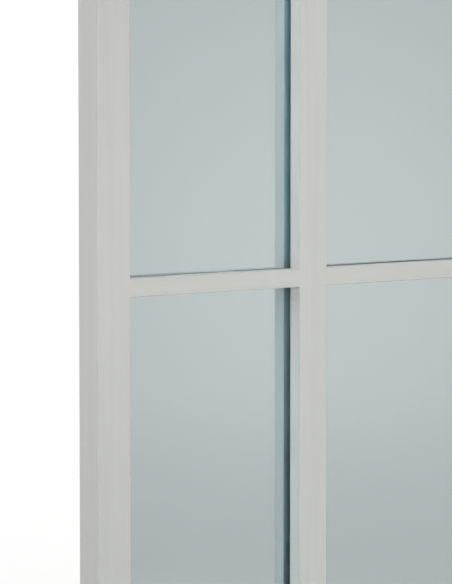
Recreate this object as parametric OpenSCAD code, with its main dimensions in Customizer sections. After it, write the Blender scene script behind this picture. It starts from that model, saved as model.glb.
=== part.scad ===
/* [Frame] */
// Overall width of the frame
frame_w = 600; // [500:10:800]
// Overall height of the frame, arch included
frame_h = 1200; // [1000:10:1600]
// Depth of the frame from its front to its back
frame_d = 32; // [30:0.5:45]
// Width of the stiles and of the arch, seen from the front
stile_w = 44; // [42:1:60]
// Height of the bottom rail
rail_h = 44; // [42:1:90]
// Radius of the eased edges of the painted wood
ease_r = 1.5; // [0.5:0.25:2.5]
// Angle that the crown piece of the arch takes up
crown_angle = 60; // [40:1:80]

/* [Glazing bars] */
// Width of the mullion
mullion_w = 40; // [30:1:60]
// Height of the thin horizontal bars
bar_h = 20; // [14:1:30]
// Thickness of the mullion and of the bars, front to back
bar_d = 16; // [12:0.5:17]
// Length of the stub tenons at the ends of the horizontal bars
bar_tenon_l = 8; // [4:0.5:10]
// Height of those tenons
bar_tenon_h = 10; // [6:0.5:12]
// Length of the tenons at the ends of the mullion
mullion_tenon_l = 12; // [6:0.5:18]
// Width of those tenons
mullion_tenon_w = 24; // [12:1:28]
// Thickness of all the tenons
tenon_t = 6; // [4:0.5:8]
// Play round a tenon, at its end and at the mullion's curved shoulder
tenon_gap = 0.1; // [0.05:0.05:0.3]

/* [Mirror plate] */
// Thickness of the glass
glass_t = 4; // [3:0.5:5]
// Gap between the back of the bars and the glass
glass_gap = 3; // [1:0.5:4]
// Width of the rebate that the glass lies in
glass_rebate_w = 10; // [6:0.5:12]
// Gap between the edge of the glass and its rebate
glass_edge_gap = 2; // [1:0.25:3]
// Thickness of the silvering and its paint
silver_t = 0.1; // [0.1:0.1:0.3]
// Length of a setting block under the glass
block_l = 60; // [30:5:100]

/* [Back] */
// Thickness of the backing board
board_t = 3; // [2.5:0.5:3.5]
// Width of the rebate that the backing board lies in
board_rebate_w = 22; // [20:0.5:24]
// Gap between the edge of the backing board and its rebate
board_edge_gap = 1; // [0.5:0.25:2]
// Thickness of the foam pads between the glass and the board
pad_t = 1; // [0.5:0.25:1.5]
// Length of a foam pad
pad_l = 60; // [30:5:100]
// Height of a foam pad
pad_h = 25; // [15:5:50]
// Diameter of the board screws
board_screw_d = 3; // [2.5:0.25:4]
// Length of the board screws under the head
board_screw_l = 12; // [8:1:14]
// Diameter of the heads of the board screws
board_head_d = 6; // [5:0.5:7]

/* [Joints of the frame] */
// Diameter of the dowels
dowel_d = 8; // [6:1:10]
// Length of the dowels
dowel_l = 40; // [20:2:50]
// Depth of the dowels' axes behind the front face
dowel_depth = 11; // [8:0.5:12]
// Distance between the two dowels of a joint
dowel_pitch = 18; // [14:1:20]
// Play round a dowel and at its ends
dowel_gap = 0.1; // [0.05:0.05:0.3]

/* [Hangers] */
// Distance of the hanging line below the height where the arch springs
hang_drop = 60; // [40:5:300]
// Width of a hanger strap
strap_w = 12; // [10:1:14]
// Gap between a strap and the edge of the board's rebate
strap_in = 1; // [0.5:0.5:2]
// Thickness of a strap
strap_t = 1; // [0.8:0.1:1.2]
// Length of a strap beyond its last screw
strap_end = 10; // [8:1:16]
// Diameter of the ring's wire
wire_d = 3; // [2:0.25:3.25]
// Clear width inside a ring
ring_w = 18; // [18:1:20]
// Clear height inside a ring
ring_h = 14; // [13:1:18]
// Radial play of the ring's bar in its eye
eye_gap = 0.1; // [0.05:0.01:0.1]
// Gap between a hanging ring and its strap
ring_lift = 0.3; // [0.3:0.1:0.5]
// Gap between a hanging ring and the first screw head
head_clear = 4; // [2:0.5:8]
// Distance between the two screws of a strap
screw_pitch = 20; // [12:1:30]
// Diameter of the strap screws
strap_screw_d = 3.5; // [3:0.25:4.5]
// Length of the strap screws under the head
strap_screw_l = 16; // [10:1:18]
// Diameter of the heads of the strap screws
strap_head_d = 7; // [6:0.5:9]

/* [Bumpers] */
// Diameter of a wall bumper at its foot
bumper_d = 12; // [8:1:18]
// Height of a wall bumper, which keeps the frame off the wall
bumper_t = 6; // [6:0.5:12]
// Height of the bumpers' centres above the bottom edge
bumper_up = 20; // [12:1:60]

/* [Hidden] */
$fn = 96;

PAINT = "#C5C7C2";
GLASS = "#BFD3D2";
SILVER = "#B8C8CC";
BEECH = "#D2B48C";
FIBREBOARD = "#9A7B56";
ZINC = "#BFC2C4";
RUBBER = "#2A2A2C";
FOAM = "#4A4C50";

// The two sides, as signs of X
LEFT = -1;
RIGHT = 1;
SIDES = [LEFT, RIGHT];
// How far a cutter runs past the face that it leaves through
over = 1;

// Plan, with heights measured from the bottom edge
half_w = frame_w / 2;
spring_h = frame_h - half_w;
sight_half = half_w - stile_w;
hang_h = spring_h - hang_drop;

// Y is 0 on the wall, Z is 0 on the hanging line, and the front looks along -Y
y_back = -bumper_t;
y_front = y_back - frame_d;

// Depths behind the front face
glass_floor = bar_d + glass_gap;
silver_floor = glass_floor + glass_t;
pad_floor = silver_floor + silver_t;
board_floor = pad_floor + pad_t;
board_back = board_floor + board_t;
tenon_from = (bar_d - tenon_t) / 2;

// Lower edges of the horizontal bars
spring_bar_z = spring_h - bar_h;
lower_bar_z = (rail_h + spring_bar_z - bar_h) / 2;

// How far the glass, the board and its screws lie beyond the opening that is seen
glass_lap = glass_rebate_w - glass_edge_gap;
board_lap = board_rebate_w - board_edge_gap;
screw_lap = (glass_rebate_w + board_rebate_w) / 2;

// Dowels lie in the solid wood outside the glass rebate
dowel_mid = half_w - (stile_w - glass_rebate_w) / 2;
crown_from = 90 - crown_angle / 2;
crown_to = 90 + crown_angle / 2;
ARCH_JOINTS = [0, crown_from, crown_to, 180];

// Counts of board screws along a stile, along the rail and in each piece of the arch
stile_screws = 6;
rail_screws = 4;
arch_screws = 2;
screw_margin = 20;
// Height of a screw head and length of a screw's point, as shares of their widths
head_share = 0.3;
point_share = 0.8;
// Cross recess of a screw head: its reach, its width and its depth, as shares of the head
recess_reach = 0.6;
recess_w = 0.14;
recess_depth = 0.16;
// Play round the screws
screw_gap = 0.05;

// Foam pads stand in two columns
pad_rows = 5;

// The flat land at the back carries the bumpers in its middle and the hangers near its inner edge
land_x = half_w - (stile_w - board_rebate_w) / 2;
hanger_x = sight_half + board_rebate_w + strap_in + strap_w / 2;
// Eye of a strap and axis of the ring's bar in it
eye_r = wire_d / 2 + eye_gap;
eye_outer_r = eye_r + strap_t;
ring_axis_y = y_back + strap_t + ring_lift + wire_d / 2;
// Centre line of a ring: half its width, its tight bends, and the drop to its round end
ring_half = (ring_w + wire_d) / 2;
ring_bend_r = wire_d;
ring_drop = ring_h + wire_d - ring_half;
// Strap screws, measured down from the eye
first_screw = ring_h + 1.5 * wire_d + head_clear + strap_head_d / 2;
second_screw = first_screw + screw_pitch;
strap_l = second_screw + strap_end;
// A bumper narrows towards the wall by this share
bumper_taper = 0.85;

// Everything is drawn for the right side, and mirrored for the left one
module on_side(side)
    if (side == LEFT)
        mirror([1, 0, 0])
            children();
    else
        children();

// An outline of X and height becomes a layer between two depths behind the front face
module layer(from, to)
    translate([0, y_front + to, -hang_h])
        rotate([90, 0, 0])
            linear_extrude(height = to - from)
                children();

// A block given by its spans in X, in height and in depth
module block(x_span, z_span, depths)
    layer(depths[0], depths[1])
        translate([x_span[0], z_span[0]])
            square([x_span[1] - x_span[0], z_span[1] - z_span[0]]);

// A section of X and depth stands upright between two heights
module upright(from, to)
    translate([0, y_front, from - hang_h])
        linear_extrude(height = to - from)
            children();

// A section of height and depth lies level between two places in X
module level(from, to)
    translate([to, y_front, -hang_h])
        rotate([0, -90, 0])
            linear_extrude(height = to - from)
                children();

// A section of radius and depth is turned round the arch between two angles
module turned(from, to)
    translate([0, y_back, spring_h - hang_h])
        rotate([90, 0, 0])
            rotate([0, 0, from])
                rotate_extrude(angle = to - from)
                    translate([0, frame_d])
                        mirror([0, 1, 0])
                            children();

// A rod along the depth, between two depths behind the front face
module rod(x, z, depths, radius)
    translate([x, y_front + depths[1], z - hang_h])
        rotate([90, 0, 0])
            cylinder(r = radius, h = depths[1] - depths[0], $fn = 32);

// Straight sides with a round top
module arched(half, low) {
    translate([-half, low])
        square([2 * half, spring_h - low]);
    translate([0, spring_h])
        circle(r = half);
}

// Section of the frame with its four outer edges eased
module eased_section(low, high) {
    translate([low + ease_r, 0])
        square([high - low - 2 * ease_r, frame_d]);
    translate([low, ease_r])
        square([high - low, frame_d - 2 * ease_r]);
    for (side = [low + ease_r, high - ease_r])
        for (depth = [ease_r, frame_d - ease_r])
            translate([side, depth])
                circle(r = ease_r, $fn = 32);
}

// What easing takes off the two front edges that look into an opening
module mouth_section(low, high)
    difference() {
        translate([low - ease_r, -over])
            square([high - low + 2 * ease_r, ease_r + over]);
        for (centre = [low - ease_r, high + ease_r])
            translate([centre, ease_r])
                circle(r = ease_r, $fn = 32);
    }

// The eased mouth of a straight pane on the right
module pane_mouth(z_low, z_high)
    intersection() {
        upright(z_low - ease_r, z_high + ease_r)
            mouth_section(mullion_w / 2, sight_half);
        level(mullion_w / 2 - ease_r, sight_half + ease_r)
            mouth_section(z_low, z_high);
    }

// The eased mouth of the arched pane on the right
module arch_mouth()
    intersection() {
        turned(0, 180)
            difference() {
                translate([0, -over])
                    square([sight_half + ease_r, ease_r + over]);
                translate([sight_half + ease_r, ease_r])
                    circle(r = ease_r, $fn = 32);
            }
        upright(spring_h - ease_r, frame_h)
            mouth_section(mullion_w / 2, frame_w);
        level(0, half_w)
            mouth_section(spring_h, frame_w + frame_h);
    }

// The eased mouths of all the panes on the right
module mouths() {
    pane_mouth(rail_h, lower_bar_z);
    pane_mouth(lower_bar_z + bar_h, spring_bar_z);
    arch_mouth();
}

// The straight part of the frame, before it is divided
module straight_frame(x_span, z_span)
    intersection() {
        upright(0, spring_h)
            eased_section(-half_w, half_w);
        level(-half_w, half_w)
            eased_section(0, frame_w + frame_h);
        block(x_span, z_span, [0, frame_d]);
    }

// The rebates of the glass and of the backing board
module rebates() {
    layer(glass_floor, frame_d + over)
        arched(sight_half + glass_rebate_w, rail_h - glass_rebate_w);
    layer(board_floor, frame_d + over)
        arched(sight_half + board_rebate_w, rail_h - board_rebate_w);
}

// Tongue of a right-hand bar, which stands out of both ends as its tenons
module bar_tongue(z, gap)
    block([mullion_w / 2 - bar_tenon_l - gap, sight_half + bar_tenon_l + gap],
          [z + (bar_h - bar_tenon_h) / 2 - gap, z + (bar_h + bar_tenon_h) / 2 + gap],
          [tenon_from - gap, tenon_from + tenon_t + gap]);

module bar_mortises() {
    bar_tongue(lower_bar_z, tenon_gap);
    bar_tongue(spring_bar_z, tenon_gap);
}

// Tongue of the mullion, which stands out of both ends as its tenons
module mullion_tongue(gap)
    block([-mullion_tenon_w / 2 - gap, mullion_tenon_w / 2 + gap],
          [rail_h - mullion_tenon_l - gap, spring_h + sight_half + mullion_tenon_l + gap],
          [tenon_from - gap, tenon_from + tenon_t + gap]);

// The two dowels of a right-hand joint between rail and stile
module rail_joint_dowels(gap)
    for (z = [rail_h - dowel_pitch, rail_h + dowel_pitch] / 2)
        translate([sight_half - dowel_l / 2 - gap, y_front + dowel_depth, z - hang_h])
            rotate([0, 90, 0])
                cylinder(r = dowel_d / 2 + gap, h = dowel_l + 2 * gap, $fn = 32);

// The two dowels of a joint of the arch, square to the joint
module arch_joint_dowels(angle, gap)
    translate([0, y_front + dowel_depth, spring_h - hang_h])
        rotate([0, -angle, 0])
            for (offset = [-dowel_pitch, dowel_pitch] / 2)
                translate([dowel_mid + offset, 0, -dowel_l / 2 - gap])
                    cylinder(r = dowel_d / 2 + gap, h = dowel_l + 2 * gap, $fn = 32);

// Where the board screws stand, as X and height
function spread(from, to, count, i) = from + (to - from) * (i + 0.5) / count;
function arch_spot(from, to, i) =
    let (angle = spread(from, to, arch_screws, i), r = sight_half + screw_lap)
        [r * cos(angle), spring_h + r * sin(angle)];
stile_spots = [for (i = [0 : stile_screws - 1])
    [sight_half + screw_lap,
     rail_h + screw_margin + i * (spring_h - rail_h - dowel_l / 2 - 2 * screw_margin) / (stile_screws - 1)]];
rail_spots = [for (i = [0 : rail_screws - 1])
    [spread(-sight_half, sight_half, rail_screws, i), rail_h - screw_lap]];
side_arch_spots = [for (i = [0 : arch_screws - 1]) arch_spot(0, crown_from, i)];
crown_spots = [for (i = [0 : arch_screws - 1]) arch_spot(crown_from, crown_to, i)];

// Pilot holes and board holes of the screws at a list of spots
module screw_holes(spots)
    for (spot = spots)
        rod(spot[0], spot[1], [board_back - board_screw_l - screw_gap, board_back + over],
            board_screw_d / 2 + screw_gap);

// The holes of the right-hand strap screws in the wood
module strap_pilots()
    for (drop = [first_screw, second_screw])
        rod(hanger_x, hang_h - drop, [frame_d + strap_t - strap_screw_l - screw_gap, frame_d + over],
            strap_screw_d / 2 + screw_gap);

// A pan-head screw with a cross recess and a point, with its head's seat at a given depth
module screw(x, z, seat, d, length, head_d)
    color(ZINC)
        translate([x, y_front + seat, z - hang_h])
            rotate([90, 0, 0]) {
                head_h = head_d * head_share;
                point_l = d * point_share;
                difference() {
                    translate([0, 0, -head_h])
                        cylinder(d1 = head_d * 0.8, d2 = head_d, h = head_h, $fn = 48);
                    for (turn = [0, 90])
                        rotate([0, 0, turn])
                            translate([-head_d * recess_reach / 2, -head_d * recess_w / 2, -head_h - over])
                                cube([head_d * recess_reach, head_d * recess_w,
                                      head_d * recess_depth + over]);
                }
                cylinder(d = d, h = length - point_l, $fn = 32);
                translate([0, 0, length - point_l])
                    cylinder(d1 = d, d2 = d * 0.2, h = point_l, $fn = 32);
            }

module stile(side)
    color(PAINT)
        on_side(side)
            difference() {
                straight_frame([sight_half, half_w], [0, spring_h]);
                rebates();
                mouths();
                bar_mortises();
                rail_joint_dowels(dowel_gap);
                arch_joint_dowels(0, dowel_gap);
                screw_holes(stile_spots);
                strap_pilots();
            }

module left_stile() stile(LEFT);

module right_stile() stile(RIGHT);

module bottom_rail()
    color(PAINT)
        difference() {
            straight_frame([-sight_half, sight_half], [0, rail_h]);
            rebates();
            mullion_tongue(tenon_gap);
            for (side = SIDES)
                on_side(side) {
                    pane_mouth(rail_h, lower_bar_z);
                    rail_joint_dowels(dowel_gap);
                }
            screw_holes(rail_spots);
        }

// A piece of the arch between two angles, before holes and mouths are cut
module arch_blank(from, to)
    turned(from, to)
        difference() {
            intersection() {
                eased_section(-half_w, half_w);
                translate([sight_half, 0])
                    square([stile_w, frame_d]);
            }
            translate([sight_half - over, glass_floor])
                square([glass_rebate_w + over, frame_d]);
            translate([sight_half - over, board_floor])
                square([board_rebate_w + over, frame_d]);
        }

module arch_side(side)
    color(PAINT)
        on_side(side)
            difference() {
                arch_blank(0, crown_from);
                arch_mouth();
                arch_joint_dowels(0, dowel_gap);
                arch_joint_dowels(crown_from, dowel_gap);
                screw_holes(side_arch_spots);
            }

module arch_left() arch_side(LEFT);

module arch_right() arch_side(RIGHT);

module arch_crown()
    color(PAINT)
        difference() {
            arch_blank(crown_from, crown_to);
            mullion_tongue(tenon_gap);
            for (side = SIDES)
                on_side(side)
                    arch_mouth();
            arch_joint_dowels(crown_from, dowel_gap);
            arch_joint_dowels(crown_to, dowel_gap);
            screw_holes(crown_spots);
        }

module mullion()
    color(PAINT)
        difference() {
            union() {
                layer(0, bar_d)
                    intersection() {
                        translate([-mullion_w / 2, rail_h])
                            square([mullion_w, frame_h - rail_h]);
                        arched(sight_half - tenon_gap, rail_h);
                    }
                mullion_tongue(0);
            }
            for (side = SIDES)
                on_side(side) {
                    mouths();
                    bar_mortises();
                }
        }

// A thin horizontal bar with a tenon at each end
module thin_bar(side, z)
    color(PAINT)
        on_side(side)
            difference() {
                union() {
                    block([mullion_w / 2, sight_half], [z, z + bar_h], [0, bar_d]);
                    bar_tongue(z, 0);
                }
                mouths();
            }

module lower_bar_left() thin_bar(LEFT, lower_bar_z);

module lower_bar_right() thin_bar(RIGHT, lower_bar_z);

module spring_bar_left() thin_bar(LEFT, spring_bar_z);

module spring_bar_right() thin_bar(RIGHT, spring_bar_z);

module rail_dowels()
    color(BEECH)
        for (side = SIDES)
            on_side(side)
                rail_joint_dowels(0);

module arch_dowels()
    color(BEECH)
        for (angle = ARCH_JOINTS)
            arch_joint_dowels(angle, 0);

module mirror_glass()
    color(GLASS)
        layer(glass_floor, silver_floor)
            arched(sight_half + glass_lap, rail_h - glass_lap);

module silver_coat()
    color(SILVER)
        layer(silver_floor, pad_floor)
            arched(sight_half + glass_lap, rail_h - glass_lap);

module setting_blocks()
    color(RUBBER)
        for (side = SIDES)
            on_side(side)
                block([sight_half - block_l, sight_half + block_l] / 2,
                      [rail_h - glass_rebate_w, rail_h - glass_lap],
                      [glass_floor, silver_floor]);

module foam_pads()
    color(FOAM)
        for (side = SIDES)
            on_side(side)
                for (i = [0 : pad_rows - 1]) {
                    z = spread(rail_h, spring_h + sight_half / 2, pad_rows, i);
                    block([sight_half - pad_l, sight_half + pad_l] / 2,
                          [z - pad_h / 2, z + pad_h / 2],
                          [pad_floor, board_floor]);
                }

module backing_board()
    color(FIBREBOARD)
        difference() {
            layer(board_floor, board_back)
                arched(sight_half + board_lap, rail_h - board_lap);
            screw_holes(rail_spots);
            screw_holes(crown_spots);
            for (side = SIDES)
                on_side(side) {
                    screw_holes(stile_spots);
                    screw_holes(side_arch_spots);
                }
        }

module board_screw_row(spots)
    for (spot = spots)
        screw(spot[0], spot[1], board_back, board_screw_d, board_screw_l, board_head_d);

module board_screws() {
    board_screw_row(rail_spots);
    board_screw_row(crown_spots);
    for (side = SIDES)
        on_side(side) {
            board_screw_row(stile_spots);
            board_screw_row(side_arch_spots);
        }
}

module hanger_strap(side)
    color(ZINC)
        on_side(side)
            difference() {
                union() {
                    layer(frame_d, frame_d + strap_t) {
                        translate([hanger_x - strap_w / 2, hang_h - strap_l + strap_w / 2])
                            square([strap_w, strap_l - strap_w / 2]);
                        translate([hanger_x, hang_h - strap_l + strap_w / 2])
                            circle(d = strap_w, $fn = 48);
                    }
                    translate([hanger_x, ring_axis_y, 0])
                        rotate([0, 90, 0])
                            cylinder(r = eye_outer_r, h = strap_w, center = true, $fn = 48);
                }
                translate([hanger_x, ring_axis_y, 0])
                    rotate([0, 90, 0])
                        cylinder(r = eye_r, h = strap_w + 2 * over, center = true, $fn = 48);
                strap_pilots();
                for (drop = [first_screw, second_screw])
                    rod(hanger_x, hang_h - drop, [frame_d - over, frame_d + strap_t + over],
                        strap_screw_d / 2 + screw_gap);
            }

module left_hanger_strap() hanger_strap(LEFT);

module right_hanger_strap() hanger_strap(RIGHT);

// Half of a ring: bar, tight bend, leg and half of the round end, on the side of +X
module half_ring() {
    rotate([0, 90, 0])
        cylinder(d = wire_d, h = ring_half - ring_bend_r, $fn = 32);
    translate([ring_half - ring_bend_r, 0, -ring_bend_r])
        rotate([90, 0, 0])
            rotate_extrude(angle = 90, $fn = 48)
                translate([ring_bend_r, 0])
                    circle(d = wire_d, $fn = 32);
    translate([ring_half, 0, -ring_drop])
        cylinder(d = wire_d, h = ring_drop - ring_bend_r, $fn = 32);
    translate([0, 0, -ring_drop])
        rotate([90, 0, 0])
            rotate([0, 0, -90])
                rotate_extrude(angle = 90, $fn = 96)
                    translate([ring_half, 0])
                        circle(d = wire_d, $fn = 32);
}

module hanger_ring(side)
    color(ZINC)
        on_side(side)
            translate([hanger_x, ring_axis_y, 0]) {
                half_ring();
                mirror([1, 0, 0])
                    half_ring();
            }

module left_hanger_ring() hanger_ring(LEFT);

module right_hanger_ring() hanger_ring(RIGHT);

module hanger_screws()
    for (side = SIDES)
        on_side(side)
            for (drop = [first_screw, second_screw])
                screw(hanger_x, hang_h - drop, frame_d + strap_t, strap_screw_d, strap_screw_l, strap_head_d);

module bumper(side)
    color(RUBBER)
        on_side(side)
            translate([land_x, 0, bumper_up - hang_h])
                rotate([90, 0, 0])
                    cylinder(d1 = bumper_d * bumper_taper, d2 = bumper_d, h = bumper_t, $fn = 48);

module left_bumper() bumper(LEFT);

module right_bumper() bumper(RIGHT);

left_stile();
right_stile();
bottom_rail();
arch_left();
arch_crown();
arch_right();
mullion();
lower_bar_left();
lower_bar_right();
spring_bar_left();
spring_bar_right();
rail_dowels();
arch_dowels();
mirror_glass();
silver_coat();
setting_blocks();
foam_pads();
backing_board();
board_screws();
left_hanger_strap();
right_hanger_strap();
left_hanger_ring();
right_hanger_ring();
hanger_screws();
left_bumper();
right_bumper();
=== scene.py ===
import math
import random

import bmesh
import bpy
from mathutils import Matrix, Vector


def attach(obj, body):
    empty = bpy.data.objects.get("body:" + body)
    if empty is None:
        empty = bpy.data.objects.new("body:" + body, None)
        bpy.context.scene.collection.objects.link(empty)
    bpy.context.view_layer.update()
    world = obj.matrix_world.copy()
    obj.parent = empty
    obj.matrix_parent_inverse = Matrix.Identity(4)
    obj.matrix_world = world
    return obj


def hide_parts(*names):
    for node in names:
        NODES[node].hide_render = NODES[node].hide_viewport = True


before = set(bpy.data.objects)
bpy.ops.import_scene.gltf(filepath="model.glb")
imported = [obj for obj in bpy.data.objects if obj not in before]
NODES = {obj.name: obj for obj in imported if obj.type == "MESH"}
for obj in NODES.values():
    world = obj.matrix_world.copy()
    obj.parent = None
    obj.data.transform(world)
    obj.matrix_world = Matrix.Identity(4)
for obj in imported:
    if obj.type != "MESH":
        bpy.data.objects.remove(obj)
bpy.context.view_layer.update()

# Lengths are in metres. Y is 0 on the wall, Z is 0 on the hanging line, and the front looks along -Y.
MM = 0.001
TINY = 0.01 * MM
# Corners that lie nearer to each other than this are one
WELD = 0.001 * MM
# A place lies on a round outline, which is drawn with flats, when it is this near to it
NEAR = 0.2 * MM
LEFT = -1
RIGHT = 1
SIDES = (LEFT, RIGHT)


def span_of(name, axis):
    """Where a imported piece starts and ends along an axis, to a hundredth of a millimetre."""
    places = [corner["XYZ".index(axis)] for corner in NODES[name].bound_box]
    return round(min(places), 5), round(max(places), 5)


# The wooden window, as it was packed
SIGHT, HALF_W = span_of("right_stile", "X")
FRONT, WOOD_BACK = span_of("right_stile", "Y")
BOTTOM, SPRING = span_of("right_stile", "Z")
RAIL_TOP = span_of("bottom_rail", "Z")[1]
MULLION_HALF = span_of("mullion", "X")[1]
BAR_BACK = span_of("mullion", "Y")[1]
SPRING_BAR = span_of("spring_bar_right", "Z")
LOWER_BAR = span_of("lower_bar_right", "Z")
CROSSPIECES = (SPRING_BAR, LOWER_BAR, (BOTTOM, RAIL_TOP))
# Heights between the horizontal bars, and below them
BETWEEN_BARS = (LOWER_BAR[1] + SPRING_BAR[0]) / 2
BELOW_BARS = (RAIL_TOP + LOWER_BAR[0]) / 2
# Flats of the whole circle of the arch, and the angle at which the crown piece starts
ARCH_SIDES = 192
CROWN_FROM = 60

# The plate and the board, and the rebates that they lie in
GLASS_HALF = span_of("mirror_glass", "X")[1]
GLASS_FRONT, SILVER_FRONT = span_of("mirror_glass", "Y")
GLASS_LOW = span_of("mirror_glass", "Z")[0]
BOARD_HALF = span_of("backing_board", "X")[1]
BOARD_FRONT, BOARD_BACK = span_of("backing_board", "Y")
BOARD_LOW = span_of("backing_board", "Z")[0]
GLASS_REBATE = GLASS_HALF + 2 * MM
BOARD_REBATE = BOARD_HALF + 1 * MM
RINGS = (HALF_W, BOARD_REBATE, GLASS_REBATE, SIGHT)
LEVELS = (
    SPRING,
    SPRING_BAR[0],
    LOWER_BAR[1],
    LOWER_BAR[0],
    RAIL_TOP,
    RAIL_TOP - (GLASS_REBATE - SIGHT),
    RAIL_TOP - (BOARD_REBATE - SIGHT),
    BOTTOM,
)

# Edges of the wood: eased in front and outside, less so behind, and broken round the joints
EASE = 1.5 * MM
REAR_EASE = 0.65 * MM
FINE_LINE = 0.15 * MM
# Edges of the board and of the bumpers' feet, and of the steel straps
SLIGHT_EASE = 0.3 * MM
STRAP_EASE = 0.15 * MM
# Faces that meet at less than this angle shade as one, in degrees
SMOOTH_BELOW = 40
# Joints are sawn this far in front of the flat face that they lie on
SHAVE = 0.05 * MM
# The silver lies this far in the glass, so that nothing shows between them
BOND = 0.03 * MM

# Head, shank and length of the two kinds of screw
BOARD_SCREW = (6 * MM, 3 * MM, 12 * MM)
STRAP_SCREW = (7 * MM, 3.5 * MM, 16 * MM)
SCREW_PLAY = 0.05 * MM
# Height of a screw's head, and reach and half width of its cross recess, as shares of its width
HEAD_HEIGHT = 0.3
RECESS_REACH = 0.3
RECESS_HALF = 0.07
# The board's screws run midway between the two rebates
SCREW_LINE = (GLASS_REBATE + BOARD_REBATE) / 2
SCREW_MARGIN = 20 * MM
HALF_DOWEL = 20 * MM
STILE_SCREW_GAP = (SPRING - HALF_DOWEL - RAIL_TOP - 2 * SCREW_MARGIN) / 5
STILE_SCREWS = [RAIL_TOP + SCREW_MARGIN + i * STILE_SCREW_GAP for i in range(6)]
RAIL_SCREWS = [SIGHT * (i - 1.5) / 2 for i in range(4)]
RAIL_SCREW_Z = RAIL_TOP - (SCREW_LINE - SIGHT)
ARCH_SCREWS = range(15, 180, 30)

# Hangers and bumpers
STRAP_HALF = 6 * MM
STRAP_T = 1 * MM
STRAP_LOW = -56 * MM
STRAP_BEND = -5 * MM
STRAP_SCREWS = (-26 * MM, -46 * MM)
HANGER_X = BOARD_REBATE + 1 * MM + STRAP_HALF
WIRE_R = 1.5 * MM
EYE_R = 1.6 * MM
EYE_Y = -3.2 * MM
# How far the strap's end is rolled round the eye, in degrees
EYE_ROLL = 285
RING_HALF = 10.5 * MM
RING_BEND = 3 * MM
RING_DROP = 6.5 * MM
BUMPER_X = (BOARD_REBATE + HALF_W) / 2
BUMPER_Z = BOTTOM + 20 * MM
BUMPER_R = 6 * MM
BUMPER_TAPER = 0.85
BUMPER_EASE = 1.2 * MM


def rgb(red, green, blue):
    return (red, green, blue, 1.0)


# Tones of the finishes
PAINT_TONE = (0.614, 0.622, 0.590)
RUBBED_TONE = rgb(0.43, 0.41, 0.36)
WOOD_TONES = (rgb(0.50, 0.40, 0.28), rgb(0.66, 0.56, 0.43))
# A grey-blue primer for the backs of the mullion and bars, made dark and teal as painted shade for the
# gap between them and the mirror
PRIMER_AND_GAP_SHADE_TONE = (0.38, 0.49, 0.51)
# Primer of the thin bars, left and right of the mullion; both are painted shade, and the right one is
# darker
BAR_PRIMER_AND_SHADE_TONES = (rgb(0.43, 0.48, 0.47), rgb(0.23, 0.26, 0.25))
SILVER_TONE = (0.70, 0.805, 0.835)
BACKING_PAINT_TONE = rgb(0.20, 0.24, 0.27)
GLASS_TONE = rgb(0.985, 1.0, 0.995)
GLASS_RIM_TONE = rgb(0.45, 0.70, 0.60)
BOARD_TONES = (rgb(0.20, 0.115, 0.055), rgb(0.40, 0.26, 0.145))
ZINC_TONES = (rgb(0.40, 0.41, 0.42), rgb(0.56, 0.56, 0.55))
RUBBER_TONES = (rgb(0.022, 0.022, 0.024), rgb(0.05, 0.05, 0.052))
FOAM_TONES = (rgb(0.03, 0.032, 0.036), rgb(0.10, 0.105, 0.115))
BEECH_TONES = (rgb(0.52, 0.36, 0.21), rgb(0.70, 0.54, 0.36))

# Tones and sizes of the studio
BLACK = rgb(0, 0, 0)
WHITE = rgb(1, 1, 1)
FLOOR_TONE = rgb(0.88, 0.88, 0.87)
FLOOR_MIRRORED = rgb(0.75, 0.73, 0.70)
FLOOR_SEEN = rgb(0.55, 0.55, 0.55)
FLOOR_GLOW = rgb(0.66, 0.66, 0.66)
# The floor is whole up to one distance from its middle and gone at another
FLOOR_SIZE = 16
FLOOR_WHOLE = 0.7
FLOOR_GONE = 3.5
# The room that the mirror shows
ROOM_TONE = (0.75, 0.722, 0.694)
# Strength of the sky that lights matt surfaces, and how fast it falls off to the right, back and top
SKY = 0.71
SKY_FALLS = (0.25, 0.12, 0.13)
# The sky is this much stronger for matt surfaces that it reaches by way of the mirror
MIRROR_GIFT = (8.1, 7.7, 8.2)
# Where that room glows, and how tight the glow is
GLOW_WAY = (0.6656, -0.7438, -0.0601)
GLOW_TIGHTNESS = 275.0


# Shader maths
class Value:
    """An output of a shader node that takes part in sums and products."""

    def __init__(self, shader, socket):
        self.shader = shader
        self.socket = socket

    def worked(self, operation, *parts):
        return self.shader.node("ShaderNodeMath", {"operation": operation}, parts)

    def __add__(self, other):
        return self.worked("ADD", self, other)

    def __radd__(self, other):
        return self.worked("ADD", other, self)

    def __sub__(self, other):
        return self.worked("SUBTRACT", self, other)

    def __rsub__(self, other):
        return self.worked("SUBTRACT", other, self)

    def __mul__(self, other):
        return self.worked("MULTIPLY", self, other)

    def __rmul__(self, other):
        return self.worked("MULTIPLY", other, self)

    def __pow__(self, other):
        return self.worked("POWER", self, other)


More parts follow.
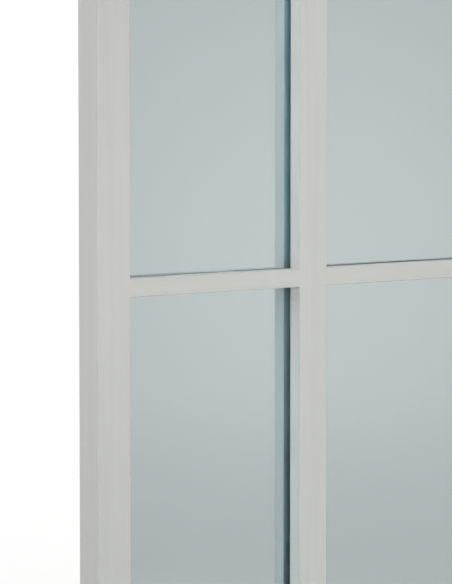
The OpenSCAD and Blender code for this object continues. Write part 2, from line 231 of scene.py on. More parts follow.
class Shader:
    """The nodes of one material, or of the world."""

    def __init__(self, owner):
        owner.use_nodes = True
        self.tree = owner.node_tree
        self.tree.nodes.clear()

    def node(self, kind, settings=None, sockets=(), output=0):
        made = self.tree.nodes.new(kind)
        for name, setting in (settings or {}).items():
            setattr(made, name, setting)
        pairs = sockets.items() if isinstance(sockets, dict) else enumerate(sockets)
        for key, given in pairs:
            if isinstance(given, Value):
                self.tree.links.new(given.socket, made.inputs[key])
            else:
                made.inputs[key].default_value = given
        if made.outputs:
            return Value(self, made.outputs[output])

    def place(self):
        """Place on the piece, in metres."""
        return self.node("ShaderNodeTexCoord", output="Object")

    def worked(self, operation, *parts):
        return self.node("ShaderNodeMath", {"operation": operation}, parts)

    def parts(self, vector):
        """The three numbers of a vector."""
        split = self.node("ShaderNodeSeparateXYZ", sockets=[vector]).socket.node
        return [Value(self, split.outputs[i]) for i in range(3)]

    def vector(self, x, y, z):
        return self.node("ShaderNodeCombineXYZ", sockets=[x, y, z])

    def noise(self, vector, size, detail, roughness=0.5):
        """Noise whose lumps have a given size along X, Y and Z."""
        fine = self.node(
            "ShaderNodeMapping", sockets={"Vector": vector, "Scale": [1 / side for side in size]}
        )
        return self.node(
            "ShaderNodeTexNoise",
            sockets={"Vector": fine, "Scale": 1.0, "Detail": detail, "Roughness": roughness},
        )

    def step(self, value, low, high, to_low=0.0, to_high=1.0):
        """A smooth step between two values."""
        return self.node(
            "ShaderNodeMapRange",
            {"interpolation_type": "SMOOTHSTEP"},
            [value, low, high, to_low, to_high],
        )

    def mix(self, share, first, second):
        """A colour between two colours."""
        # The node's colour sockets share their names with others, so they go by their places
        return self.node(
            "ShaderNodeMix", {"data_type": "RGBA"}, {0: share, 6: first, 7: second}, output=2
        )

    def shade(self, colour, level):
        """A colour made lighter or darker."""
        return self.node("ShaderNodeVectorMath", {"operation": "SCALE"}, {0: colour, 3: level})

    def bump(self, height, distance):
        return self.node(
            "ShaderNodeBump", sockets={"Height": height, "Distance": distance, "Strength": 1.0}
        )

    def finish(self, **sockets):
        """The surface itself, whose sockets are named as words joined by lines."""
        named = {}
        for key, given in sockets.items():
            named[key.replace("_", " ").title().replace("Ior", "IOR")] = given
        shaded = self.node("ShaderNodeBsdfPrincipled", sockets=named)
        self.node("ShaderNodeOutputMaterial", sockets=[shaded])


def new_material(name):
    material = bpy.data.materials.new(name)
    return material, Shader(material)


# Modelling
def alone(piece):
    """Leaves one piece selected and active."""
    bpy.ops.object.select_all(action="DESELECT")
    piece.select_set(True)
    bpy.context.view_layer.objects.active = piece


def start_shaping(piece):
    alone(piece)
    bpy.ops.object.mode_set(mode="EDIT")
    bpy.ops.mesh.select_all(action="DESELECT")


def stop_shaping():
    bpy.ops.object.mode_set(mode="OBJECT")


def keep_as(name):
    """Names the primitive that was just added, and puts its place into its mesh."""
    piece = bpy.context.object
    piece.name = name
    alone(piece)
    bpy.ops.object.transform_apply(location=True, rotation=True, scale=True)
    return piece


def pick(piece, kind, test):
    """Selects the faces, edges or corners that pass a test."""
    bpy.ops.mesh.select_mode(type=kind)
    bpy.ops.mesh.select_all(action="DESELECT")
    shape = bmesh.from_edit_mesh(piece.data)
    for part in {"FACE": shape.faces, "EDGE": shape.edges, "VERT": shape.verts}[kind]:
        if test(part):
            part.select_set(True)
    shape.select_flush_mode()
    bmesh.update_edit_mesh(piece.data)


def ends(edge):
    return [corner.co for corner in edge.verts]


def middle(edge):
    return (edge.verts[0].co + edge.verts[1].co) / 2


def draw_out(x=0.0, y=0.0, z=0.0):
    """Extrudes what is selected."""
    bpy.ops.mesh.extrude_region_move(TRANSFORM_OT_translate={"value": (x, y, z)})


def resize(value, centre):
    bpy.ops.transform.resize(value=value, center_override=centre)


def ease(width, segments):
    """Rounds the selected edges."""
    bpy.ops.mesh.bevel(
        offset=width, offset_type="OFFSET", segments=segments, affect="EDGES", clamp_overlap=False
    )


def turn_faces_out():
    bpy.ops.mesh.select_all(action="SELECT")
    bpy.ops.mesh.normals_make_consistent(inside=False)


def saw(point, normal, close=True):
    """Cuts off what lies on the side of a plane that its normal points to."""
    bpy.ops.mesh.select_all(action="SELECT")
    bpy.ops.mesh.bisect(
        plane_co=point, plane_no=normal, use_fill=close, clear_outer=True, threshold=WELD
    )


def copy_of(piece, name):
    alone(piece)
    bpy.ops.object.duplicate()
    made = bpy.context.object
    made.name = name
    return made


def carve(piece, tool, operation="DIFFERENCE"):
    """Cuts a piece with another one."""
    alone(piece)
    cut = piece.modifiers.new("carve", "BOOLEAN")
    cut.object = tool
    cut.operation = operation
    cut.solver = "MANIFOLD"
    bpy.ops.object.modifier_apply(modifier=cut.name)


def join(pieces, name):
    alone(pieces[0])
    for piece in pieces:
        piece.select_set(True)
    bpy.ops.object.join()
    pieces[0].name = name
    return pieces[0]


def scrap(*pieces):
    for piece in pieces:
        bpy.data.objects.remove(piece)


def smooth(piece):
    """Rounded faces shade smoothly, and the large flat ones stay flat."""
    alone(piece)
    bpy.ops.object.shade_smooth_by_angle(angle=math.radians(SMOOTH_BELOW))
    even = piece.modifiers.new("even", "WEIGHTED_NORMAL")
    even.keep_sharp = True
    bpy.ops.object.modifier_apply(modifier=even.name)


def fit(piece, body, material, node):
    """Gives a finished piece its finish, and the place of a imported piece."""
    smooth(piece)
    piece.data.materials.clear()
    piece.data.materials.append(material)
    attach(piece, body)
    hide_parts(node)


def block(name, low, high):
    centre = [(a + b) / 2 for a, b in zip(low, high)]
    size = [b - a for a, b in zip(low, high)]
    bpy.ops.mesh.primitive_cube_add(size=1, location=centre, scale=size)
    return keep_as(name)


def rod(name, x, z, y_from, y_to, radius, sides=32):
    """A round rod along the depth."""
    bpy.ops.mesh.primitive_cylinder_add(
        vertices=sides, radius=radius, depth=y_to - y_from,
        location=(x, (y_from + y_to) / 2, z), rotation=(math.pi / 2, 0, 0),
    )
    return keep_as(name)


def from_centre(corner):
    """Distance from the centre of the arch, seen from the front."""
    return math.hypot(corner.x, corner.z - SPRING)


def reach(corner):
    """Distance from the middle of the straight part, or from the centre of the arch."""
    return from_centre(corner) if corner.z > SPRING else abs(corner.x)


# The window's woodwork, drawn as one flat sheet of cells before it gets its depth
def window_sheet():
    bpy.ops.mesh.primitive_circle_add(
        vertices=ARCH_SIDES, radius=HALF_W, location=(0, FRONT, SPRING), rotation=(math.pi / 2, 0, 0)
    )
    sheet = keep_as("window")
    start_shaping(sheet)
    bpy.ops.mesh.select_all(action="SELECT")
    for outer, inner in zip(RINGS, RINGS[1:]):
        bpy.ops.mesh.extrude_region_move()
        resize([inner / outer] * 3, (0, FRONT, SPRING))
    saw((0, 0, SPRING), (0, 0, -1), close=False)
    for side in SIDES:
        bpy.ops.mesh.select_all(action="SELECT")
        bpy.ops.mesh.bisect(
            plane_co=(side * MULLION_HALF, 0, 0), plane_no=(1, 0, 0), threshold=WELD
        )
    pick(sheet, "EDGE", lambda edge: all(abs(co.z - SPRING) < TINY for co in ends(edge)))
    draw_down()
    pick(sheet, "EDGE", is_under_crown)
    bpy.ops.mesh.extrude_region_move()
    resize((1, 1, 0), (0, FRONT, SPRING))
    draw_down()
    for side in SIDES:
        pick(sheet, "EDGE", lambda edge: joins_crosspiece(edge, side))
        draw_out(x=side * (SIGHT - MULLION_HALF))
    bpy.ops.mesh.select_all(action="SELECT")
    bpy.ops.mesh.remove_doubles(threshold=TINY)
    return sheet


def draw_down():
    for upper, lower in zip(LEVELS, LEVELS[1:]):
        draw_out(z=lower - upper)


def is_under_crown(edge):
    on_sight = all(abs(from_centre(co) - SIGHT) < NEAR for co in ends(edge))
    return on_sight and all(abs(co.x) < MULLION_HALF + TINY for co in ends(edge))


def joins_crosspiece(edge, side):
    """An edge of the mullion that a bar or the bottom rail grows from."""
    on_side = all(abs(co.x - side * MULLION_HALF) < TINY for co in ends(edge))
    return on_side and any(low < middle(edge).z < high for low, high in CROSSPIECES)


def give_depth(sheet):
    """Bars and mullion take one depth, and the frame steps back round its two rebates."""
    bpy.ops.mesh.select_mode(type="FACE")
    bpy.ops.mesh.select_all(action="SELECT")
    draw_out(y=BAR_BACK - FRONT)
    steps = (
        (BAR_BACK, GLASS_FRONT, SIGHT),
        (GLASS_FRONT, BOARD_FRONT, GLASS_REBATE),
        (BOARD_FRONT, WOOD_BACK, BOARD_REBATE),
    )
    for y_from, y_to, opening in steps:
        pick(sheet, "FACE", lambda face: is_round(face, y_from, opening))
        draw_out(y=y_to - y_from)
    turn_faces_out()


def is_round(face, y, opening):
    """A face at one depth that lies round an arched opening of a given half width."""
    centre = face.calc_center_median()
    level = all(abs(corner.co.y - y) < TINY for corner in face.verts)
    return level and (reach(centre) > opening - NEAR or centre.z < RAIL_TOP - opening + SIGHT)


def is_arris(edge, y):
    """An edge at one depth, between a face that looks along the depth and one that doesn't."""
    if any(abs(co.y - y) > TINY for co in ends(edge)) or len(edge.link_faces) != 2:
        return False
    looks = sorted(abs(face.normal.y) for face in edge.link_faces)
    return looks[0] < 0.1 and looks[1] > 0.9


def is_outer(co):
    return reach(co) > HALF_W - NEAR or co.z < BOTTOM + TINY


def is_eased(edge):
    if is_arris(edge, FRONT):
        return True
    if is_arris(edge, WOOD_BACK):
        return all(is_outer(co) for co in ends(edge))
    return all(abs(co.x) > HALF_W - TINY and co.z < BOTTOM + TINY for co in ends(edge))


def is_inner_edge(edge):
    """A convex edge behind the front: of the bars, of the lip over the glass, or of the back."""
    spot = middle(edge)
    if is_arris(edge, BAR_BACK):
        return reach(spot) < SIGHT - MM and spot.z > RAIL_TOP + TINY
    if is_arris(edge, GLASS_FRONT):
        return reach(spot) < SIGHT + TINY and spot.z > RAIL_TOP - TINY
    return is_arris(edge, WOOD_BACK) and not is_outer(spot)


def mark_arrises(piece):
    """Notes at each corner of the mesh how far it lies on an eased edge, from 0 to 1."""
    mesh = piece.data
    looks = [Vector() for corner in mesh.vertices]
    for face in mesh.polygons:
        for corner in face.vertices:
            looks[corner] += face.normal * face.area
    marks = mesh.attributes.new("arris", "FLOAT", "POINT")
    for look, mark in zip(looks, marks.data):
        lean = look.normalized().y ** 2
        mark.value = 4 * lean * (1 - lean)


def whole_window():
    window = window_sheet()
    give_depth(window)
    pick(window, "EDGE", is_eased)
    ease(EASE, 5)
    pick(window, "EDGE", is_inner_edge)
    ease(REAR_EASE, 3)
    stop_shaping()
    mark_arrises(window)
    return window


def arched_sheet(name, half, low, front, back):
    """A sheet with straight sides and a round top."""
    bpy.ops.mesh.primitive_circle_add(
        vertices=ARCH_SIDES, radius=half, fill_type="NGON",
        location=(0, front, SPRING), rotation=(math.pi / 2, 0, 0),
    )
    sheet = keep_as(name)
    start_shaping(sheet)
    saw((0, 0, SPRING), (0, 0, -1), close=False)
    pick(sheet, "EDGE", lambda edge: all(abs(co.z - SPRING) < TINY for co in ends(edge)))
    draw_out(z=low - SPRING)
    bpy.ops.mesh.select_mode(type="FACE")
    bpy.ops.mesh.select_all(action="SELECT")
    draw_out(y=back - front)
    turn_faces_out()
    stop_shaping()
    return sheet


def cut_from(window, name, cuts):
    """Saws one piece of wood out of the whole window."""
    piece = copy_of(window, name)
    start_shaping(piece)
    for point, normal in cuts:
        saw(point, normal)
    stop_shaping()
    return piece


def clear_centre(piece):
    """Takes away what is left of the mullion beside a side piece of the arch."""
    start_shaping(piece)
    pick(piece, "VERT", lambda corner: from_centre(corner.co) < SIGHT - MULLION_HALF)
    bpy.ops.mesh.delete(type="VERT")
    stop_shaping()


def fine_line(piece, point, normal, lies_there=lambda spot: True):
    """Breaks the edges round a joint, so that a fine line shows in the paint."""
    point, normal = Vector(point), Vector(normal)

    def is_round_joint(edge):
        if any(abs((co - point).dot(normal)) > TINY for co in ends(edge)):
            return False
        caps = [face for face in edge.link_faces if abs(face.normal.dot(normal)) > 0.99]
        return len(caps) == 1 and lies_there(middle(edge))

    start_shaping(piece)
    pick(piece, "EDGE", is_round_joint)
    ease(FINE_LINE, 1)
    stop_shaping()


def beyond(angle):
    """Normal of a plane through the centre of the arch, towards larger angles."""
    turn = math.radians(angle)
    return Vector((-math.sin(turn), 0, math.cos(turn)))


CENTRE = Vector((0, 0, SPRING))
FOOT = Vector((0, 0, SPRING + SHAVE))
UP = Vector((0, 0, 1))
ACROSS = Vector((1, 0, 0))


def at_x(x):
    return Vector((x, 0, 0))


def at_z(z):
    return Vector((0, 0, z))


def make_stile(window, side, name):
    stile = cut_from(window, name, [(at_x(side * (SIGHT - SHAVE)), -side * ACROSS), (FOOT, UP)])
    fine_line(stile, at_x(side * (SIGHT - SHAVE)), ACROSS, lambda spot: spot.z < RAIL_TOP)
    fine_line(stile, FOOT, UP)
    return stile


def make_rail(window, name):
    shoulders = [(at_x(side * (SIGHT - SHAVE)), side * ACROSS) for side in SIDES]
    rail = cut_from(window, name, shoulders + [(at_z(RAIL_TOP + SHAVE), UP)])
    for point, normal in shoulders:
        fine_line(rail, point, normal)
    return rail


def make_arch_side(window, side, name):
    angle = CROWN_FROM if side == RIGHT else 180 - CROWN_FROM
    arch = cut_from(window, name, [(FOOT, -UP), (CENTRE, side * beyond(angle))])
    clear_centre(arch)
    fine_line(arch, FOOT, UP)
    fine_line(arch, CENTRE, beyond(angle))
    return arch


def make_crown(window, name):
    cuts = [(CENTRE, -beyond(CROWN_FROM)), (CENTRE, beyond(180 - CROWN_FROM))]
    crown = cut_from(window, name, cuts)
    plug = arched_sheet("plug", SIGHT - SHAVE, BOTTOM, FRONT - MM, 0)
    carve(crown, plug)
    scrap(plug)
    for point, normal in cuts:
        fine_line(crown, point, normal)
    return crown


def make_mullion(window, name):
    edges = [(at_x(side * (MULLION_HALF + SHAVE)), side * ACROSS) for side in SIDES]
    mullion = cut_from(window, name, edges)
    plug = arched_sheet("plug", SIGHT - SHAVE, RAIL_TOP + SHAVE, FRONT - MM, 0)
    carve(mullion, plug, "INTERSECT")
    scrap(plug)
    return mullion


def make_bar(window, side, name, below, above):
    cuts = [
        (at_x(side * (MULLION_HALF + SHAVE)), -side * ACROSS),
        (at_x(side * (SIGHT - SHAVE)), side * ACROSS),
        (at_z(below), -UP),
        (at_z(above), UP),
    ]
    return cut_from(window, name, cuts)


# Back and hardware
def board_screw_spots():
    spots = [(x, RAIL_SCREW_Z) for x in RAIL_SCREWS]
    spots += [(side * SCREW_LINE, z) for side in SIDES for z in STILE_SCREWS]
    for angle in ARCH_SCREWS:
        turn = math.radians(angle)
        spots.append((SCREW_LINE * math.cos(turn), SPRING + SCREW_LINE * math.sin(turn)))
    return spots


def strap_screw_spots():
    return [(side * HANGER_X, z) for side in SIDES for z in STRAP_SCREWS]


def drill_for(name, spots, seat, sizes):
    """The rods that bore the holes of a set of screws."""
    shank, length = sizes[1:]
    deep = seat - length - SCREW_PLAY
    radius = shank / 2 + SCREW_PLAY
    return join([rod("bore", x, z, deep, 0, radius, 24) for x, z in spots], name)


def dowel_drill():
    """The rods that bore the holes of all the dowels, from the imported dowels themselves."""
    dowels = [copy_of(NODES[name], "bore") for name in ("rail_dowels", "arch_dowels")]
    rods = join(dowels, "dowel_drill")
    start_shaping(rods)
    bpy.ops.mesh.select_all(action="SELECT")
    bpy.ops.mesh.remove_doubles(threshold=WELD)
    stop_shaping()
    return rods


def make_board(name, drill):
    board = arched_sheet(name, BOARD_HALF, BOARD_LOW, BOARD_FRONT, BOARD_BACK)
    start_shaping(board)
    pick(board, "EDGE", lambda edge: is_arris(edge, BOARD_BACK) or is_arris(edge, BOARD_FRONT))
    ease(SLIGHT_EASE, 2)
    stop_shaping()
    carve(board, drill)
    return board


def make_screw(sizes):
    """A pan-head screw with a cross recess. Its seat is at Y 0, and it points to -Y."""
    head, shank, length = sizes
    high = HEAD_HEIGHT * head
    screw = rod("screw", 0, 0, 0, high, head / 2)
    start_shaping(screw)
    pick(screw, "EDGE", lambda edge: all(abs(co.y - high) < TINY for co in ends(edge)))
    ease(0.8 * high, 5)
    pick(screw, "FACE", lambda face: face.normal.y < -0.9)
    bpy.ops.mesh.inset(thickness=(head - shank) / 2)
    draw_out(y=shank - length)
    draw_out(y=-shank)
    resize((0.2, 1, 0.2), (0, -length, 0))
    stop_shaping()
    recess_floor = 0.4 * high
    reach_out = RECESS_REACH * head
    half = RECESS_HALF * head
    for wide, tall in ((reach_out, half), (half, reach_out)):
        arm = block("arm", (-wide, recess_floor, -tall), (wide, high + MM, tall))
        start_shaping(arm)
        pick(arm, "FACE", lambda face: face.normal.y < -0.9)
        resize((0.55, 1, 0.55), (0, recess_floor, 0))
        stop_shaping()
        carve(screw, arm)
        scrap(arm)
    return screw


def set_screws(name, screw, spots, seat, chance):
    """Copies of one screw, each turned as it happened to stop."""
    driven = []
    for x, z in spots:
        made = copy_of(screw, "driven")
        made.rotation_euler = (0, chance.uniform(0, math.pi), 0)
        made.location = (x, seat, z)
        alone(made)
        bpy.ops.object.transform_apply(location=True, rotation=True, scale=True)
        driven.append(made)
    return join(driven, name)


def make_strap(side, name, drill):
    """A strip of steel whose top is rolled round the ring's bar."""
    x = side * HANGER_X
    low = (x - STRAP_HALF, WOOD_BACK, STRAP_LOW)
    high = (x + STRAP_HALF, WOOD_BACK + STRAP_T, STRAP_BEND)
    strap = block(name, low, high)
    start_shaping(strap)
    pick(strap, "EDGE", is_foot_corner)
    ease(STRAP_HALF - SHAVE, 8)
    pick(strap, "FACE", lambda face: face.normal.z > 0.9)
    draw_out(y=EYE_Y - EYE_R - STRAP_T - WOOD_BACK, z=-STRAP_BEND)
    bpy.ops.mesh.spin(steps=28, angle=math.radians(EYE_ROLL), center=(x, EYE_Y, 0), axis=(1, 0, 0))
    turn_faces_out()
    stop_shaping()
    carve(strap, drill)
    soften(strap, STRAP_EASE)
    return strap


def is_foot_corner(edge):
    """An edge that runs along the depth at the strap's lower end."""
    one, other = ends(edge)
    along_depth = abs(one.x - other.x) < TINY and abs(one.z - other.z) < TINY
    return along_depth and one.z < STRAP_LOW + TINY


def soften(piece, width):
    """Takes the sharpness off all the edges of a small piece."""
    alone(piece)
    edges = piece.modifiers.new("edges", "BEVEL")
    edges.width = width
    edges.segments = 2
    edges.limit_method = "ANGLE"
    edges.angle_limit = math.radians(50)
    bpy.ops.object.modifier_apply(modifier=edges.name)


def make_ring(side, name):
    """A D-ring of round wire, drawn round from the middle of its bar and mirrored."""
    x = side * HANGER_X
    bpy.ops.mesh.primitive_circle_add(
        vertices=24, radius=WIRE_R, fill_type="NGON",
        location=(x, EYE_Y, 0), rotation=(0, math.pi / 2, 0),
    )
    ring = keep_as(name)
    start_shaping(ring)
    bpy.ops.mesh.select_all(action="SELECT")
    draw_out(x=RING_HALF - RING_BEND)
    quarter = -math.pi / 2
    bend = (x + RING_HALF - RING_BEND, EYE_Y, -RING_BEND)
    bpy.ops.mesh.spin(steps=12, angle=quarter, center=bend, axis=(0, 1, 0))
    draw_out(z=RING_BEND - RING_DROP)
    bpy.ops.mesh.spin(steps=24, angle=quarter, center=(x, EYE_Y, -RING_DROP), axis=(0, 1, 0))
    pick(ring, "FACE", lambda face: all(abs(corner.co.x - x) < TINY for corner in face.verts))
    bpy.ops.mesh.delete(type="FACE")
    bpy.ops.mesh.select_all(action="SELECT")
    bpy.ops.mesh.duplicate()
    resize((-1, 1, 1), (x, EYE_Y, 0))
    bpy.ops.mesh.select_all(action="SELECT")
    bpy.ops.mesh.remove_doubles(threshold=TINY)
    turn_faces_out()
    stop_shaping()
    return ring


def make_bumper(side, name):
    bumper = rod(name, side * BUMPER_X, BUMPER_Z, WOOD_BACK, 0, BUMPER_R, 48)
    start_shaping(bumper)
    pick(bumper, "FACE", lambda face: face.normal.y > 0.9)
    resize((BUMPER_TAPER, 1, BUMPER_TAPER), (side * BUMPER_X, 0, BUMPER_Z))
    pick(bumper, "EDGE", lambda edge: all(abs(co.y) < TINY for co in ends(edge)))
    ease(BUMPER_EASE, 5)
    pick(bumper, "EDGE", lambda edge: all(abs(co.y - WOOD_BACK) < TINY for co in ends(edge)))
    ease(SLIGHT_EASE, 2)
    stop_shaping()
    return bumper


# Finishes
def run_of_paint(s, run, x, y, z):
    """Place along and across a piece of wood, and how far out from the window's middle it lies."""
    if run == "up":
        return s.vector(x, y, z), s.worked("ABSOLUTE", x)
    if run == "level":
        return s.vector(z, y, x), SIGHT + RAIL_TOP - z
    rise = z - SPRING
    out = s.worked("SQRT", x * x + rise * rise)
    turn = s.worked("ARCTAN2", rise, x)
    return s.vector(out, y, turn * HALF_W), out


def paint_finish(name, run):
    """Satin paint, brushed along the piece, rubbed thin on its arrises and left thin behind, with a
    dark primer tone painted as shade on the backs of the bars and mullion.
    """
    material, s = new_material(name)
    place = s.place()
    x, y, z = s.parts(place)
    along, out = run_of_paint(s, run, x, y, z)
    strokes = s.noise(along, (1.3 * MM, 1.3 * MM, 90 * MM), 3.0, 0.6)
    bands = s.noise(along, (9 * MM, 9 * MM, 240 * MM), 1.0)
    clouds = s.noise(place, (60 * MM, 60 * MM, 60 * MM), 3.0)
    nibs = s.step(s.noise(place, (0.9 * MM, 0.9 * MM, 0.9 * MM), 1.0), 0.72, 0.8)
    level = 0.915 + 0.04 * strokes + 0.09 * bands + 0.04 * clouds
    coat = s.shade(PAINT_TONE, level)

    rubbed = s.node("ShaderNodeAttribute", {"attribute_name": "arris"}, output="Fac")
    patches = s.step(s.noise(along, (7 * MM, 7 * MM, 45 * MM), 3.0, 0.65), 0.42, 0.66)
    coat = s.mix(rubbed * (0.10 + 0.25 * patches), coat, RUBBED_TONE)

    grain = s.noise(along, (0.8 * MM, 2.5 * MM, 60 * MM), 4.0, 0.6)
    wood = s.mix(grain, *WOOD_TONES)
    thin = s.mix(0.45 + 0.3 * clouds, wood, coat)
    behind = s.step(y, WOOD_BACK - 0.7 * MM, WOOD_BACK - 0.2 * MM)
    in_rebate = s.step(out, BOARD_REBATE + 2 * MM, BOARD_REBATE + MM)
    rebated = s.step(y, GLASS_FRONT + 0.2 * MM, GLASS_FRONT + MM) * in_rebate
    bare = s.worked("MAXIMUM", behind, rebated)
    # Painted shade: the backs of the bars and mullion take the dark primer tone, and on the bars it
    # also reaches 3.8 mm onto the back of their top and bottom faces
    shade_reach = 3.8 * MM if run == "level" else 0.6 * MM
    shaded_at_glass = s.step(y, BAR_BACK - shade_reach, BAR_BACK - shade_reach + 0.5 * MM)
    primer_and_shade = PRIMER_AND_GAP_SHADE_TONE
    if run == "level":
        primer_and_shade = s.mix(s.step(x, -MULLION_HALF, MULLION_HALF), *BAR_PRIMER_AND_SHADE_TONES)
    # Painted shade: on the mullion's back the primer is darker deeper under it and lighter at its
    # edges, as light falls off into the gap
    if run == "up":
        primer_and_shade = s.shade(primer_and_shade, s.step(out, MULLION_HALF - 12 * MM, MULLION_HALF, 0.55, 1.35))
    # Painted shade: the primer gets darker towards the bottom, and the clouds vary it at random
    shade_below = s.step(z, -750 * MM, -250 * MM, 0.50, 1.0)
    primer_and_shade = s.shade(primer_and_shade, shade_below * (0.92 + 0.16 * clouds))
    coat = s.mix(shaded_at_glass * s.step(out, SIGHT + TINY, SIGHT), coat, primer_and_shade)
    s.finish(
        base_color=s.mix(bare, coat, thin),
        roughness=0.40 + 0.12 * clouds + 0.25 * bare,
        normal=s.bump(strokes + 2.0 * nibs + grain * bare * 2.0, 0.02 * MM),
    )
    return material


def silver_finish():
    """Silver in front, and the grey paint that protects it behind."""
    material, s = new_material("silver_coat")
    place = s.place()
    y = s.parts(place)[1]
    behind = s.step(y, SILVER_FRONT + 0.03 * MM, SILVER_FRONT + 0.07 * MM)
    haze = s.noise(place, (90 * MM, 90 * MM, 90 * MM), 2.0)
    s.finish(
        base_color=s.mix(behind, s.shade(SILVER_TONE, 0.99 + 0.02 * haze), BACKING_PAINT_TONE),
        metallic=1.0 - behind,
        roughness=0.55 * behind,
    )
    return material


def glass_finish():
    """Clear float glass, whose ground rim is green."""
    material, s = new_material("float_glass")
    x, y, z = s.parts(s.place())
    rise = s.worked("MAXIMUM", z - SPRING, 0.0)
    out = s.worked("SQRT", x * x + rise * rise)
    at_side = s.step(out, GLASS_HALF - 0.4 * MM, GLASS_HALF)
    at_foot = s.step(z, GLASS_LOW + 0.4 * MM, GLASS_LOW)
    rim = s.worked("MAXIMUM", at_side, at_foot)
    s.finish(
        base_color=s.mix(rim, GLASS_TONE, GLASS_RIM_TONE),
        roughness=0.35 * rim,
        transmission_weight=1.0,
        ior=1.52,
    )
    return material


def board_finish():
    """Pressed fibreboard."""
    material, s = new_material("fibreboard")
    place = s.place()
    fibres = s.noise(place, (0.5 * MM, 0.5 * MM, 2.2 * MM), 4.0, 0.7)
    crossed = s.noise(place, (2.4 * MM, 0.5 * MM, 0.5 * MM), 4.0, 0.7)
    clouds = s.noise(place, (80 * MM, 80 * MM, 80 * MM), 3.0)
    tangle = 0.5 * fibres + 0.5 * crossed
    tone = s.mix(s.step(tangle, 0.35, 0.65), *BOARD_TONES)
    s.finish(
        base_color=s.shade(tone, 0.85 + 0.3 * clouds),
        roughness=0.55 + 0.2 * tangle,
        normal=s.bump(tangle, 0.05 * MM),
    )
    return material


def zinc_finish():
    """Zinc-plated steel with faint drawing marks."""
    material, s = new_material("zinc_plate")
    place = s.place()
    marks = s.noise(place, (0.25 * MM, 0.25 * MM, 6 * MM), 3.0, 0.6)
    dull = s.noise(place, (3 * MM, 3 * MM, 3 * MM), 3.0)
    s.finish(
        base_color=s.mix(dull, *ZINC_TONES),
        metallic=1.0,
        roughness=0.24 + 0.18 * dull + 0.08 * marks,
        normal=s.bump(marks, 0.004 * MM),
    )
    return material


def soft_finish(name, tones, grain, depth):
    """Rubber or foam."""
    material, s = new_material(name)
    cells = s.noise(s.place(), (grain, grain, grain), 3.0, 0.6)
    s.finish(
        base_color=s.mix(cells, *tones),
        roughness=0.65 + 0.2 * cells,
        normal=s.bump(cells, depth),
    )
    return material


def dowel_finish():
    """Turned beech."""
    material, s = new_material("beech")
    grain = s.noise(s.place(), (12 * MM, 0.7 * MM, 0.7 * MM), 4.0, 0.6)
    s.finish(
        base_color=s.mix(grain, *BEECH_TONES),
        roughness=0.6 + 0.15 * grain,
        normal=s.bump(grain, 0.03 * MM),
    )
    return material


paint_up = paint_finish("paint_brushed_up", "up")
paint_level = paint_finish("paint_brushed_level", "level")
paint_round = paint_finish("paint_brushed_round", "round")
silver = silver_finish()
glass = glass_finish()
fibreboard = board_finish()
zinc = zinc_finish()
rubber = soft_finish("rubber", RUBBER_TONES, 0.4 * MM, 0.02 * MM)
foam = soft_finish("foam", FOAM_TONES, 0.8 * MM, 0.2 * MM)
beech = dowel_finish()

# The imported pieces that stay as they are
for node_name, material in {
    "silver_coat": silver,
    "rail_dowels": beech,
    "arch_dowels": beech,
    "setting_blocks": rubber,
    "foam_pads": foam,
}.items():
    NODES[node_name].material_slots[0].material = material


# Woodwork
board_spots = board_screw_spots()
strap_spots = strap_screw_spots()
board_drill = drill_for("board_drill", board_spots, BOARD_BACK, BOARD_SCREW)
strap_drill = drill_for("strap_drill", strap_spots, WOOD_BACK + STRAP_T, STRAP_SCREW)
dowel_holes = dowel_drill()
window = whole_window()


def fit_wood(piece, material, node, *drills):
    for drill in drills:
        carve(piece, drill)
    fit(piece, "frame", material, node)


for side, word in zip(SIDES, ("left", "right")):
    stile = make_stile(window, side, "stile_" + word)
    fit_wood(stile, paint_up, word + "_stile", board_drill, strap_drill, dowel_holes)
    arch = make_arch_side(window, side, "arch_piece_" + word)
    fit_wood(arch, paint_round, "arch_" + word, board_drill, dowel_holes)
    lower_bar = make_bar(window, side, "thin_bar_lower_" + word, BELOW_BARS, BETWEEN_BARS)
    fit_wood(lower_bar, paint_level, "lower_bar_" + word)
    spring_bar = make_bar(window, side, "thin_bar_spring_" + word, BETWEEN_BARS, SPRING + SHAVE)
    fit_wood(spring_bar, paint_level, "spring_bar_" + word)
fit_wood(make_rail(window, "rail_bottom"), paint_level, "bottom_rail", board_drill, dowel_holes)
fit_wood(make_crown(window, "arch_piece_crown"), paint_round, "arch_crown", board_drill, dowel_holes)
fit_wood(make_mullion(window, "mullion_upright"), paint_up, "mullion")

# Mirror and back
plate = arched_sheet("mirror_plate", GLASS_HALF, GLASS_LOW, GLASS_FRONT, SILVER_FRONT + BOND)
fit(plate, "frame", glass, "mirror_glass")
fit(make_board("back_board", board_drill), "frame", fibreboard, "backing_board")

# Hardware
chance = random.Random(11)
board_screw = make_screw(BOARD_SCREW)
strap_screw = make_screw(STRAP_SCREW)
screws = set_screws("board_screw_set", board_screw, board_spots, BOARD_BACK, chance)
fit(screws, "frame", zinc, "board_screws")
screws = set_screws("hanger_screw_set", strap_screw, strap_spots, WOOD_BACK + STRAP_T, chance)
fit(screws, "frame", zinc, "hanger_screws")
for side, word in zip(SIDES, ("left", "right")):
    strap = make_strap(side, "strap_" + word, strap_drill)
    fit(strap, "frame", zinc, word + "_hanger_strap")
    ring = make_ring(side, "ring_" + word)
    fit(ring, word + "_ring", zinc, word + "_hanger_ring")
    bumper = make_bumper(side, "bumper_foot_" + word)
    fit(bumper, "frame", rubber, word + "_bumper")
scrap(window, board_drill, strap_drill, dowel_holes, board_screw, strap_screw)


# Floor
def kinds_of_ray(s):
    """Seen by the camera, seen in something shiny, or come to a matt surface off something shiny."""
    rays = s.node("ShaderNodeLightPath").socket.node.outputs
    names = ("Is Camera Ray", "Is Glossy Ray", "Is Transmission Ray", "Diffuse Depth")
    seen, glossy, through, depth = (Value(s, rays[name]) for name in names)
    either = s.worked("MINIMUM", glossy + through, 1.0)
    matt = s.worked("MINIMUM", depth, 1.0)
    return seen, either * (1.0 - matt), either * matt


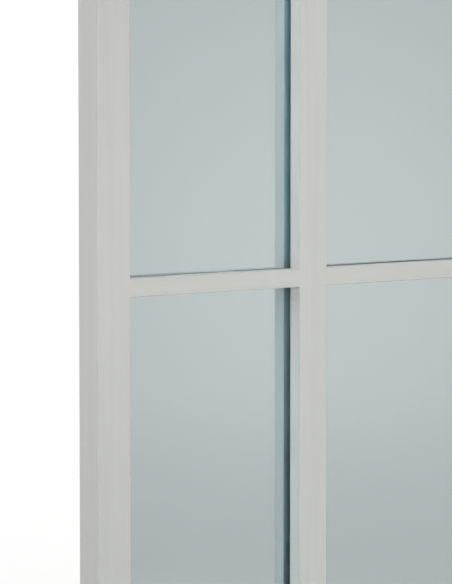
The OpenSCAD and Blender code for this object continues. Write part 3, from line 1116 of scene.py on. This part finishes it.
def make_floor():
    bpy.ops.object.select_all(action="DESELECT")
    bpy.ops.mesh.primitive_plane_add(size=FLOOR_SIZE, location=(0, 0, BOTTOM))
    floor = keep_as("floor")
    material, s = new_material("pale_floor")
    seen, shiny, _ = kinds_of_ray(s)
    x, y, _ = s.parts(s.place())
    away = s.worked("SQRT", x * x + y * y)
    tone = s.mix(shiny, FLOOR_TONE, FLOOR_MIRRORED)
    tone = s.mix(seen, tone, FLOOR_SEEN)
    matt = s.node(
        "ShaderNodeBsdfPrincipled",
        sockets={
            "Base Color": tone,
            "Roughness": 1.0,
            "Specular IOR Level": 0.0,
            "Emission Color": s.mix(seen, BLACK, FLOOR_GLOW),
            "Emission Strength": 1.0,
        },
    )
    clear = s.node("ShaderNodeBsdfTransparent")
    thin = 1.0 - s.step(away, FLOOR_GONE, FLOOR_WHOLE) * (1.0 - 0.7 * shiny)
    faded = s.node("ShaderNodeMixShader", sockets=[thin, matt, clear])
    s.node("ShaderNodeOutputMaterial", sockets=[faded])
    floor.data.materials.append(material)


# Light
def make_studio():
    world = bpy.data.worlds.new("studio")
    bpy.context.scene.world = world
    s = Shader(world)
    seen, shiny, bounced = kinds_of_ray(s)
    way = s.node("ShaderNodeTexCoord", output="Generated")
    x, y, z = s.parts(way)
    right, back, top = SKY_FALLS
    lit = s.shade(WHITE[:3], SKY - right * x - back * y - top * z)
    towards = s.node(
        "ShaderNodeVectorMath", {"operation": "DOT_PRODUCT"}, [way, GLOW_WAY], output="Value"
    )
    glow = s.worked("MAXIMUM", towards, 0.0) ** GLOW_TIGHTNESS
    room = s.shade(ROOM_TONE, 0.80 + 0.20 * glow)
    mirrored = s.mix(s.step(y, -0.2, 0.3), room, WHITE)
    given_back = s.node("ShaderNodeVectorMath", {"operation": "MULTIPLY"}, [lit, MIRROR_GIFT])
    tone = s.mix(bounced, lit, given_back)
    tone = s.mix(shiny, tone, mirrored)
    tone = s.mix(seen, tone, WHITE)
    light = s.node("ShaderNodeBackground", sockets={"Color": tone, "Strength": 1.0})
    s.node("ShaderNodeOutputWorld", sockets=[light])


def make_lamp(name, size, power, place, target):
    """A soft lamp near the window, which lights it and is seen nowhere."""
    lamp_data = bpy.data.lights.new(name, "AREA")
    lamp_data.shape = "DISK"
    lamp_data.size = size
    lamp_data.energy = power
    lamp = bpy.data.objects.new(name, lamp_data)
    lamp.location = place
    aim = Vector(target) - lamp.location
    lamp.rotation_euler = aim.to_track_quat("-Z", "Y").to_euler()
    lamp.visible_camera = False
    lamp.visible_glossy = False
    lamp.visible_transmission = False
    bpy.context.scene.collection.objects.link(lamp)


make_floor()
make_studio()
make_lamp("front_lamp", size=0.6, power=1.4, place=(0.06, -0.80, -0.30), target=(0.02, 0, -0.32))
make_lamp("side_lamp", size=0.2, power=0.07, place=(-0.50, -0.22, -0.37), target=(-0.30, -0.03, -0.37))

# Camera
camera_data = bpy.data.cameras.new("camera")
camera_data.lens = 199.71
camera_data.clip_end = 100.0
camera = bpy.data.objects.new("camera", camera_data)
camera.location = (-2.3614, -2.6720, -0.1338)
camera.rotation_euler = (math.radians(90 - 4.212), 0.0, math.radians(-40.326))
bpy.context.scene.collection.objects.link(camera)
bpy.context.scene.camera = camera
bpy.context.scene.view_settings.view_transform = "Standard"
